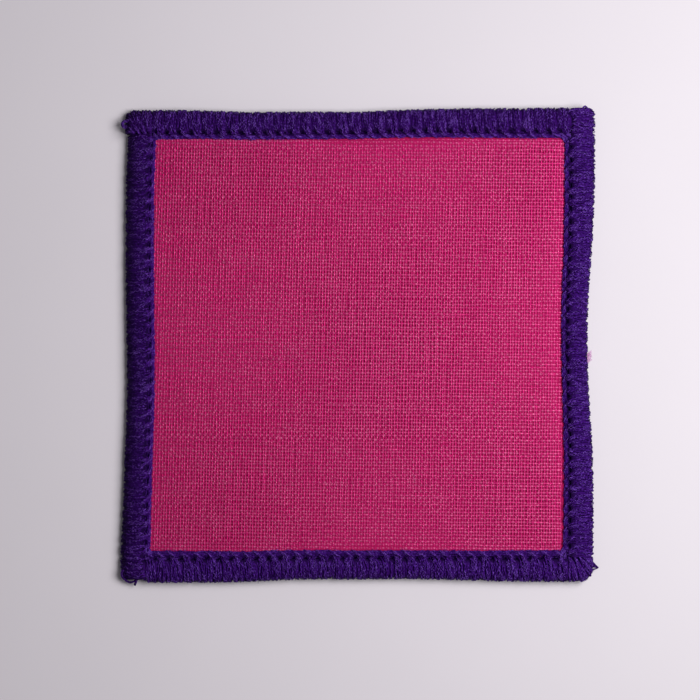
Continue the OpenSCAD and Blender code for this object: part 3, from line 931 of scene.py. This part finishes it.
class PATCH_OT_cloth(bpy.types.Operator):
    """Make the woven cloth: its body and the upright and level threads on its face"""
    bl_idname = "patch.cloth"
    bl_label = "Woven cloth"

    def execute(self, context):
        sizes, looks = context.scene.patch_sizes, context.scene.patch_cloth
        threads = self.threads(sizes, looks)
        body = self.body(sizes, looks)
        dress(body, "ground_cloth", "ground_cloth")
        for thread in threads:
            dress(thread, "ground_cloth")
        return {"FINISHED"}

    def threads(self, sizes, looks):
        """The upright and the level threads, which cross on a grid that slants and wavers"""
        rng = np.random.default_rng(CLOTH_SEED)
        reach_x, reach_y = (reach * MM for reach in WEAVE_REACH)
        x = np.arange(-reach_x, reach_x, looks.warp_pitch)
        y = np.arange(-reach_y, reach_y, looks.weft_pitch)
        nx, ny = len(x), len(y)
        side_x = self.sideways(rng, nx, ny, looks.waver)
        side_y = self.sideways(rng, ny, nx, looks.waver).T
        slant = looks.warp_slant - WEAVE_FAN * x[:, None]
        gx = x[:, None] + side_x + slant * y[None, :]
        gy = y[None, :] + side_y - looks.weft_slant * x[:, None]
        over = np.where((np.arange(nx)[:, None] + np.arange(ny)[None, :]) % 2, 1.0, -1.0)
        level = self.level(sizes, gx, gy) - WEAVE_DEPTH * MM - self.tucked(sizes, gx, gy)
        warp_z = level + WARP_OVER * MM + over * looks.warp_wave * (1 + rng.normal(0, 0.15, over.shape))
        weft_z = level - WEFT_UNDER * MM - over * looks.weft_wave * (1 + rng.normal(0, 0.15, over.shape))
        warp = np.stack([gx, gy, warp_z], -1)
        weft = np.stack([gx, gy, weft_z], -1).transpose(1, 0, 2)
        upright = weave_material("Upright pink thread", looks, 0.60, 0.60, -6.0)
        flat = weave_material("Level pink thread", looks, 0.25, 2.20, 5.0)
        return [self.tubes(rng, "warp_threads", warp, looks.warp_thread, looks.flatness, 1, upright),
                self.tubes(rng, "weft_threads", weft, looks.weft_thread, looks.flatness, 0, flat)]

    @staticmethod
    def sideways(rng, threads, crossings, waver):
        """How far each thread lies beside its place at each crossing"""
        own = np.stack([wander(rng, crossings, 9, waver) for _ in range(threads)])
        bunched = wander(rng, threads, 5, 0.4 * waver)
        together = wander(rng, crossings, 40, waver)
        return own + (bunched[:, None] + together[None, :])

    @staticmethod
    def tucked(sizes, x, y):
        """How far the threads sink where they run in under the stitches"""
        places = ((x, -y), (y, x), (-x, y), (-y, -x))
        beyond = np.max([o - Side(number, sizes).inner(number, s) for number, (s, o) in enumerate(places)],
                        axis=0)
        return np.clip(2 * beyond + 0.2 * MM, 0, 0.5 * MM)

    @staticmethod
    def tubes(rng, name, lines, radius, flatness, odd, material):
        """Threads as tubes. odd is 1 where the first thread lies on top at its first crossing."""
        n = lines.shape[1]
        own = 1 + rng.normal(0, 0.025, len(lines))
        thick = [radius * one * (1 + wander(rng, n, 4, 0.09)) for one in own]
        tone = np.clip(0.5 + rng.normal(0, 0.12, len(lines)), 0, 1)
        beat = [np.arange(n) + i % 2 + odd + rng.normal(0, 0.14) + wander(rng, n, 6, 0.10)
                for i in range(len(lines))]
        source = lines_object(name + "_lines", list(lines), thick, tone, beat)
        return grown(source, TREES["tubes"], name, Sides=4, Flatness=flatness, Material=material)

    @staticmethod
    def level(sizes, x, y):
        """Height of the cloth's face: drawn down along the border, with slow waves"""
        edge = np.minimum(sizes.patch_w / 2 - np.abs(x), sizes.patch_h / 2 - np.abs(y)) - 4.0 * MM
        drawn = 0.10 * MM * np.exp(-np.maximum(edge, 0) / (1.1 * MM))
        slow = 0.03 * MM * np.sin(x / (7.3 * MM) + 1.0) * np.cos(y / (9.1 * MM))
        return sizes.yarn_under + sizes.cloth_t - drawn + slow

    def body(self, sizes, looks):
        """The body of the cloth: a flat slab of its outline, with the weave in relief on the back"""
        outline, window = self.rings(sizes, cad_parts["ground_cloth"])
        n = len(outline)
        bottom, top = sizes.yarn_under, sizes.yarn_under + sizes.cloth_t - BODY_DEPTH * MM
        rim = bottom + RIM_HEIGHT * MM
        levels = (outline, bottom), (outline, rim), (window, top)
        points = [(x, y, z) for ring, z in levels for x, y in ring]
        faces = [tuple(range(n - 1, -1, -1)), tuple(range(2 * n, 3 * n))]
        faces += [(k * n + i, k * n + (i + 1) % n, (k + 1) * n + (i + 1) % n, (k + 1) * n + i)
                  for k in (0, 1) for i in range(n)]
        made = object_of("woven_cloth", points, faces)
        rim_shade = bpy.context.scene.patch_yarn.shade_colour
        made.data.materials.append(woven_material("Cloth between the threads", looks))
        made.data.materials.append(deep_material("Cloth inside the border", rim_shade))
        # Painted shade: the rim's walls under the stitches take the yarn's shade colour at its darkest
        for face in made.data.polygons:
            face.material_index = int(face.index >= 2)
        return made

    @staticmethod
    def rings(sizes, node):
        """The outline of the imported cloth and, at the same angles, the edge of what shows of it"""
        points = np.array([v.co for v in node.data.vertices])
        low = np.unique(np.round(points[points[:, 2] < points[:, 2].mean()], 7), axis=0)[:, :2]
        outline = low[np.argsort(np.arctan2(low[:, 1], low[:, 0]))]
        way = outline / np.linalg.norm(outline, axis=1, keepdims=True)
        reach = np.full(len(way), np.inf)
        for number, (out, along) in enumerate(SIDE_WAYS):
            facing = np.maximum(way @ np.array(out), 1e-6)
            r = np.linalg.norm(outline, axis=1)
            for _ in range(4):
                r = (Side(number, sizes).inner(number, r * (way @ np.array(along))) - 0.45 * MM) / facing
            reach = np.minimum(reach, r)
        return outline, way * reach[:, None]


class PATCH_OT_border(bpy.types.Operator):
    """Make the wrapped stitches of the four sides, strand by strand round a dark core of painted shade"""
    bl_idname = "patch.border"
    bl_label = "Wrapped stitches"

    def execute(self, context):
        sizes, looks = context.scene.patch_sizes, context.scene.patch_yarn
        bulk = yarn_material("Violet yarn ply", looks, 0.0, BORDER_PAINTED_SHADE_HEIGHTS)
        thin = filament_material("Violet yarn filament", looks, BORDER_PAINTED_SHADE_HEIGHTS)
        deep = deep_material("Violet yarn inside", looks.shade_colour)
        section = Section(sizes)
        for number, name in enumerate(SIDE_NAMES):
            side, rng = Side(number, sizes), np.random.default_rng(BORDER_SEED + number)
            stitches = self.stitches(side, rng)
            plies = self.plies(side, looks, section, stitches, rng).tubes(bulk)
            filaments = self.filaments(side, looks, section, stitches, rng).tubes(thin)
            core = self.core(side, section)
            core.data.materials.append(deep)
            dress(joined("stitches_" + name, plies, filaments, core), "border_yarn", "border_" + name)
        return {"FINISHED"}

    @staticmethod
    def stitches(side, rng):
        """First and last groove of each stitch, how plump it is and its tone"""
        grooves = np.arange(side.count + 1) + np.clip(rng.normal(0, 0.05, side.count + 1), -0.12, 0.12)
        grooves[0], grooves[-1] = 0, side.count
        return [(first, last, 1 + rng.normal(0, 0.08), rng.normal(0, 0.07))
                for first, last in zip(grooves, grooves[1:])]

    @staticmethod
    def plies(side, looks, section, stitches, rng):
        """The thick strands, which wrap the edge from their root in the cloth to the underside"""
        stretches = [np.linspace(*ends, steps + 1)[1:] for *ends, steps in PLY_STRETCHES]
        places = np.concatenate([[0.0], *stretches])
        n, d = len(places), places * section.length
        spread, lean, sag = (section.column(k, d) for k in (SPREAD, LEAN, SAG))
        pitch = side.sizes.stitch_pitch
        made = Strands(side.holes)
        for first, last, plump, stitch_tone in stitches:
            twist = rng.normal(0, 0.1)
            for k in range(looks.plies):
                u = -1 + 2 * (k + 0.5) / looks.plies
                u = u + (twist + rng.normal(0, 0.08)) * np.sin((places - 0.1) * math.pi * 1.6)
                u = np.clip(u, -1.0, 1.0)
                waver = wander(rng, n, 1.4, 1.2) + wander(rng, n, 5, 0.8)
                wave = 0.09 * MM / pitch * waver * (1 - 0.6 * u**4)
                c = (first + last) / 2 + (last - first) / 2 * u * spread + lean + wave
                groove = np.abs(u) ** 2.6 * sag * looks.groove_depth * plump + section.seam(u, d)
                groove = groove - section.swelling(looks, u, d)
                depth = looks.ply_radius + 0.02 * MM + groove + np.abs(wander(rng, n, 2.4, 0.03 * MM))
                swell = (1 + rng.normal(0, 0.08)) * (1 + wander(rng, n, 3, 0.06))
                made.add(section.on(side, c, d, depth), looks.ply_radius * np.clip(swell, 0.7, 1.3),
                         near(rng, 0.42 + stitch_tone, 0.10))
        return made

    @staticmethod
    def filaments(side, looks, section, stitches, rng):
        """Thin strands that crimp their way over the thick ones and dive in at both their ends"""
        t = np.linspace(0, 1, 11)
        dive = np.maximum(1 - np.minimum(t, 1 - t) / 0.14, 0) ** 1.5
        made = Strands(side.holes)
        for first, last, plump, stitch_tone in stitches:
            for _ in range(looks.filaments):
                run = rng.uniform(0.6, 1.25) * MM
                d = rng.uniform(0.15 * MM, section.edge + 0.7 * MM - run) + t * run
                u = np.clip(rng.uniform(-0.9, 0.9) + rng.normal(0, 0.12) * t, -0.92, 0.92)
                turns = 2 * math.pi * d / (looks.crimp_length * rng.uniform(0.75, 1.3))
                wave = looks.crimp * rng.uniform(0.5, 1.2) * np.sin(turns + phase(rng))
                wave = wave * (1 - 0.7 * u**4)
                c = ((first + last) / 2 + (last - first) / 2 * u * section.column(SPREAD, d)
                     + section.column(LEAN, d) + wave / side.sizes.stitch_pitch)
                groove = np.abs(u) ** 2.4 * section.column(SAG, d) * looks.groove_depth * plump * 1.1
                groove = groove + section.seam(u, d)
                groove = groove - section.swelling(looks, u, d)
                bob = 0.055 * MM * np.sin(turns * rng.uniform(0.7, 1.3) + phase(rng))
                depth = 0.045 * MM + groove + bob + dive * 0.16 * MM
                made.add(section.on(side, c, d, depth),
                         looks.filament_radius * rng.uniform(0.8, 1.25) * (1 - 0.4 * dive),
                         near(rng, 0.48 + stitch_tone, 0.36))
        return made

    @staticmethod
    def core(side, section):
        """A closed dark body inside the stitches, in the yarn's shade colour: painted shade that shows
        between the strands, darkest at its root under their inner ends
        """
        d = np.linspace(0.03, 1.0, 16) * section.length
        c = np.arange(0, side.count + 0.01, 0.5)
        c[0], c[-1] = -0.12, side.count + 0.09
        rings = np.stack([section.on(side, np.full(16, one), d, CORE_DEPTH * MM) for one in c])
        m, n = rings.shape[:2]
        faces = [(i * n + j, i * n + (j + 1) % n, (i + 1) * n + (j + 1) % n, (i + 1) * n + j)
                 for i in range(m - 1) for j in range(n)]
        faces += [tuple(range(n - 1, -1, -1)), tuple((m - 1) * n + j for j in range(n))]
        made = object_of("core", rings.reshape(-1, 3), faces)
        # Painted shade: the core darkens towards its root under the stitches' inner ends
        tone = np.interp(d, (0.15 * section.length, 0.24 * section.length), (0.0, 0.8))
        made.data.attributes.new("tone", "FLOAT", "POINT").data.foreach_set("value", np.tile(tone, m))
        turn_outwards(made)
        return made


def turn_outwards(piece):
    """Faces of a closed mesh outwards"""
    mesh = piece.data
    volume = 0.0
    points = np.array([v.co for v in mesh.vertices])
    for face in mesh.polygons:
        ids = list(face.vertices)
        for a, b in zip(ids[1:-1], ids[2:]):
            volume += np.dot(points[ids[0]], np.cross(points[a], points[b]))
    if volume < 0:
        mesh.flip_normals()


class PATCH_OT_chain(bpy.types.Operator):
    """Make the chained thread on the cloth inside each side's stitches"""
    bl_idname = "patch.chain"
    bl_label = "Chained thread"

    def execute(self, context):
        sizes, looks = context.scene.patch_sizes, context.scene.patch_yarn
        bulk = yarn_material("Violet chain ply", looks, 0.1)
        thin = filament_material("Violet chain filament", looks)
        for number, name in enumerate(SIDE_NAMES):
            side, rng = Side(number, sizes), np.random.default_rng(CHAIN_SEED + number)
            plies = self.loops(side, looks, rng).tubes(bulk, 4)
            filaments = self.crimped(side, looks, rng).tubes(thin)
            dress(joined("chain_thread_" + name, plies, filaments), "chain_thread", "chain_" + name)
        return {"FINISHED"}

    @staticmethod
    def loop(side, i, t, spread, shift):
        """Places along and across, and height over the cloth, at t from 0 in the groove to 1 where the
        loop has slanted back over the cloth and dives under the one before"""
        c = i + shift - 0.22 - 1.10 * t + spread * 0.26 * np.cos(t * math.pi / 2)
        off = 0.22 * MM - (0.22 * MM + side.chain - 0.20 * MM) * np.sin(t * math.pi / 2)
        off = off + spread * 0.42 * MM * np.sin(t * 2.2)
        return c, off, np.interp(t, *LOOP_HEIGHTS) * MM - 0.3 * MM * spread**2

    @classmethod
    def loops(cls, side, looks, rng):
        """The thick strands of the loops. Under them lie some that run straight along, the darkest of them,
        next to the groove, painted shade in the pits there, and a few that lead round the corner to the
        next side."""
        made = Strands(side.holes)
        t = np.linspace(0, 1, 9)
        for i in range(side.straight + 1):
            shift, tone = rng.normal(0, 0.05), rng.normal(0, 0.06)
            for k in range(looks.chain_plies):
                c, off, rise = cls.loop(side, i, t, (k + 0.5) / looks.chain_plies - 0.5, shift)
                off = off + 0.04 * MM * np.sin(t * rng.uniform(9, 15) + phase(rng))
                made.add(side.beside(c, off, side.top + np.maximum(rise, 0.04 * MM)),
                         0.090 * MM * (1 + wander(rng, len(t), 3, 0.1)), near(rng, 0.32 + tone, 0.18))
        # Strands under the loops; those of tone 0 next to the groove are painted shade in the pits
        c = np.arange(-0.9, side.straight + 0.6, 1 / 3)
        inwards = (0.40, 0.16, *np.linspace(-0.05, 0.14 - side.chain / MM, 5))
        for off, (rise, tone) in zip(inwards, UNDER_LOOPS):
            sway = wander(rng, len(c), 2, 0.03 * MM)
            high = side.top + rise * MM + wander(rng, len(c), 2, 0.025 * MM)
            made.add(side.beside(c, off * MM + sway, high),
                     0.13 * MM * (1 + wander(rng, len(c), 2, 0.1)), tone)
        for k, off in enumerate((0.10, 0.24, 0.38, 0.52, 0.64)):
            high = side.top + (0.26 - 0.08 * abs(k - 2)) * MM
            made.add(side.round_corner(side.bend - off * MM, t * math.pi / 2, high),
                     0.11 * MM * (1 + wander(rng, len(t), 3, 0.1)), near(rng, 0.3, 0.15))
        return made

    @classmethod
    def crimped(cls, side, looks, rng):
        """Short crimped strands on the loops, on the edge of the chain and round the corner"""
        made = Strands(side.holes)
        t = np.linspace(0, 1, 8)
        for i in range(side.straight + 1):
            shift = rng.normal(0, 0.05)
            for _ in range(looks.chain_filaments):
                part = rng.uniform(0.12, 0.55) + 0.45 * t
                c, off, rise = cls.loop(side, i, part, rng.uniform(-0.7, 0.7), shift)
                wave = 0.070 * MM * np.sin(part * 20.9 + phase(rng))
                rise = rise + 0.09 * MM + 0.03 * MM * np.sin(part * 23 + phase(rng))
                rise = rise - 0.12 * MM * np.abs(2 * t - 1) ** 4
                made.add(side.beside(c, off + wave, side.top + rise),
                         looks.filament_radius * rng.uniform(0.7, 1.0), near(rng, 0.5, 0.3))
            for _ in range(LOOSE_AT_EDGE):
                off = -side.chain + rng.uniform(-0.05, 0.30) * MM
                off = off + 0.06 * MM * np.sin(t * 8 + phase(rng)) + rng.normal(0, 0.05) * MM * t
                c = i + rng.uniform(-1.0, 0.4) + rng.uniform(0.3, 0.6) * t
                rise = (0.16 - 0.10 * np.abs(2 * t - 1) ** 3) * MM
                made.add(side.beside(c, off, side.top + rise),
                         looks.filament_radius * rng.uniform(0.6, 0.9), near(rng, 0.35, 0.3))
        for _ in range(LOOSE_ROUND_CORNER):
            off = rng.uniform(0.05, 0.72) * MM
            turn = (rng.uniform(0, 0.6) + 0.4 * t) * math.pi / 2
            bend = side.bend - off + 0.05 * MM * np.sin(turn * 16 + phase(rng))
            high = side.top + 0.36 * MM - 0.5 * np.abs(off - 0.36 * MM)
            made.add(side.round_corner(bend, turn, high),
                     looks.filament_radius * rng.uniform(0.7, 1.0), near(rng, 0.5, 0.3))
        return made


class PATCH_OT_fibres(bpy.types.Operator):
    """Make the stray fibres that stand out of the border"""
    bl_idname = "patch.fibres"
    bl_label = "Stray fibres"

    def execute(self, context):
        looks = context.scene.patch_yarn
        material = yarn_material("Violet stray fibre", looks, 0.1)
        for number, name in enumerate(SIDE_NAMES):
            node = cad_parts["border_" + name]
            source = bpy.data.objects.new("fibre_roots", node.data.copy())
            context.scene.collection.objects.link(source)
            area = sum(face.area for face in source.data.polygons)
            piece = grown(source, TREES["fibres"], "stray_fibres_" + name, Density=looks.fibres / area,
                          Length=0.40 * MM, Radius=0.018 * MM, Seed=FIBRE_SEED + number, Material=material)
            dress(piece, "border_yarn")
        return {"FINISHED"}


class PATCH_OT_ends(bpy.types.Operator):
    """Make the loops and tails of yarn at the corners and the pink fluff at the right edge"""
    bl_idname = "patch.ends"
    bl_label = "Loops and tails"

    def execute(self, context):
        sizes, looks = context.scene.patch_sizes, context.scene.patch_yarn
        bulk = yarn_material("Violet tail ply", looks)
        thin = filament_material("Violet tail filament", looks)
        for number, (name, (signs, tone, half, points)) in enumerate(YARN_ENDS.items()):
            rng = np.random.default_rng(END_SEED + number)
            path = self.path(sizes, signs, points)
            plies = self.twisted(path, half, tone, rng, END_PLIES, 0.55, 0.62).tubes(bulk, 5)
            filaments = self.twisted(path, half, tone, rng, END_FILAMENTS, 0.95, 0.28).tubes(thin)
            dress(joined(name, plies, filaments), "border_yarn")
        pink = deep_material("Pink fluff", FLUFF_COLOUR)
        dress(self.fluff(np.random.default_rng(FLUFF_SEED)).tubes(pink, 3, "pink_fluff"), "ground_cloth")
        return {"FINISHED"}

    @staticmethod
    def path(sizes, signs, points):
        """A smooth line of even steps through a loop's or a tail's points"""
        rows = np.array(points) * MM
        rows = np.stack([signs[0] * (sizes.patch_w / 2 - rows[:, 0]),
                         signs[1] * (sizes.patch_h / 2 - rows[:, 1]), rows[:, 2]], 1)
        run = np.arange(len(rows))
        at = np.linspace(0, len(rows) - 1, 5 * len(rows))
        return np.stack([curve(run, column, np.gradient(column, run), at) for column in rows.T], 1)

    @staticmethod
    def twisted(path, half, tone, rng, strands, ring, share):
        """Strands that wind round a path, ring and share being shares of the yarn's half thickness"""
        t = np.linspace(0, 1, len(path))
        radius = (half[0] + (half[1] - half[0]) * t) * MM
        way = np.gradient(path, axis=0)
        run = np.cumsum(np.linalg.norm(way, axis=1))
        way /= np.linalg.norm(way, axis=1, keepdims=True)
        flat = np.stack([-way[:, 1], way[:, 0], np.zeros(len(t))], 1)
        flat /= np.linalg.norm(flat, axis=1, keepdims=True)
        up = np.cross(way, flat)
        made = Strands()
        for k in range(strands):
            turn = 2 * math.pi * (k / strands + run / (1.3 * MM)) + wander(rng, len(t), 5, 0.3)
            reach = (radius * ring * (1 + wander(rng, len(t), 4, 0.12)))[:, None]
            made.add(path + flat * np.cos(turn)[:, None] * reach + up * np.sin(turn)[:, None] * reach,
                     radius * share * (1 + wander(rng, len(t), 4, 0.1)), near(rng, tone, 0.2))
        return made

    @staticmethod
    def fluff(rng):
        """Loose fibres of the cloth that stand out past the right edge, and three on its face"""
        made = Strands()
        t = np.linspace(0, 1, 7)
        for _ in range(FLUFF_FIBRES):
            y = rng.uniform(*FLUFF_Y)
            reach = rng.uniform(0.3, 0.74)
            x = FLUFF_X + reach * t
            y = y + (rng.uniform(0.2, 0.9) * t + rng.normal(0, 0.2) * np.sin(t * 4)) * reach
            z = 1.5 - 0.4 * t + rng.normal(0, 0.2)
            made.add(np.stack([x, y, z], 1) * MM, 0.027 * MM * (1 - 0.5 * t), 0.5)
        for x, y, way in FACE_FIBRES:
            run = rng.uniform(0.3, 0.5) * t
            place = (x + run * math.cos(way), y + run * math.sin(way) + 0.1 * run**2,
                     1.72 + 0.05 * np.sin(t * 3))
            made.add(np.stack(place, 1) * MM, 0.018 * MM * (1 - 0.5 * t), 0.5)
        return made


class PATCH_OT_stage(bpy.types.Operator):
    """Make the pale floor, the soft lights and the camera"""
    bl_idname = "patch.stage"
    bl_label = "Stage"

    def execute(self, context):
        looks = context.scene.patch_stage
        corners = [(x * FLOOR_REACH, y * FLOOR_REACH, 0) for x, y in ((-1, -1), (1, -1), (1, 1), (-1, 1))]
        floor = object_of("floor", corners, [(0, 1, 2, 3)])
        floor.data.materials.append(floor_material(looks.floor_colour))
        self.lamp(looks.lamp_power)
        world = context.scene.world or bpy.data.worlds.new("Sky")
        context.scene.world = world
        world.use_nodes = True
        sky = world.node_tree.nodes["Background"].inputs
        sky["Color"].default_value = (0.96, 0.95, 1.0, 1.0)
        sky["Strength"].default_value = looks.sky
        camera = bpy.data.cameras.new("camera")
        camera.sensor_width = SENSOR_MM
        camera.lens = SENSOR_MM * looks.camera_height / (PICTURE_PIXELS * looks.mm_per_pixel)
        camera.clip_start = 0.01
        camera.clip_end = 10.0
        eye = bpy.data.objects.new("camera", camera)
        eye.location = (VIEW_RIGHT * looks.mm_per_pixel, VIEW_UP * looks.mm_per_pixel,
                        looks.camera_height + CREST_MM * MM)
        context.scene.collection.objects.link(eye)
        context.scene.camera = eye
        context.scene.view_settings.view_transform = "Standard"
        context.scene.view_settings.look = "None"
        return {"FINISHED"}

    @staticmethod
    def lamp(power):
        """A large soft lamp at the right that shines at the patch's middle"""
        light = bpy.data.lights.new("soft_lamp", "AREA")
        light.shape = "SQUARE"
        light.size = LAMP_SIZE
        light.energy = power
        made = bpy.data.objects.new("soft_lamp", light)
        made.location = LAMP_PLACE
        made.rotation_euler = (-Vector(LAMP_PLACE)).to_track_quat("-Z", "Y").to_euler()
        bpy.context.scene.collection.objects.link(made)


class PATCH_PT_panel(bpy.types.Panel):
    """Buttons and sizes of the patch"""
    bl_idname = "PATCH_PT_panel"
    bl_label = "Cloth patch"
    bl_space_type = "VIEW_3D"
    bl_region_type = "UI"
    bl_category = "Patch"

    def draw(self, context):
        for group, operators in GROUPS.items():
            box = self.layout.box()
            for operator in operators:
                box.operator(operator.bl_idname)
            holder = getattr(context.scene, group)
            for name in holder.__annotations__:
                box.prop(holder, name)


# The groups of sizes on the panel, and the buttons over each
GROUPS = {
    "patch_sizes": (),
    "patch_cloth": (PATCH_OT_cloth,),
    "patch_yarn": (PATCH_OT_border, PATCH_OT_chain, PATCH_OT_ends, PATCH_OT_fibres),
    "patch_stage": (PATCH_OT_stage,),
}
HOLDERS = {"patch_sizes": PatchSizes, "patch_cloth": ClothLooks, "patch_yarn": YarnLooks,
           "patch_stage": StageLooks}
OPERATORS = tuple(operator for group in GROUPS.values() for operator in group)
TREES = {}


def register():
    for cls in (*HOLDERS.values(), *OPERATORS, PATCH_PT_panel):
        bpy.utils.register_class(cls)
    for name, cls in HOLDERS.items():
        setattr(bpy.types.Scene, name, PointerProperty(type=cls))


def unregister():
    for name in HOLDERS:
        delattr(bpy.types.Scene, name)
    for cls in (PATCH_PT_panel, *reversed(OPERATORS), *HOLDERS.values()):
        bpy.utils.unregister_class(cls)


def main():
    register()
    TREES["tubes"] = tube_tree()
    TREES["fibres"] = fibre_tree()
    bpy.ops.patch.stage()
    bpy.ops.patch.cloth()
    bpy.ops.patch.border()
    bpy.ops.patch.chain()
    bpy.ops.patch.ends()
    bpy.ops.patch.fibres()


if __name__ == "__main__":
    main()
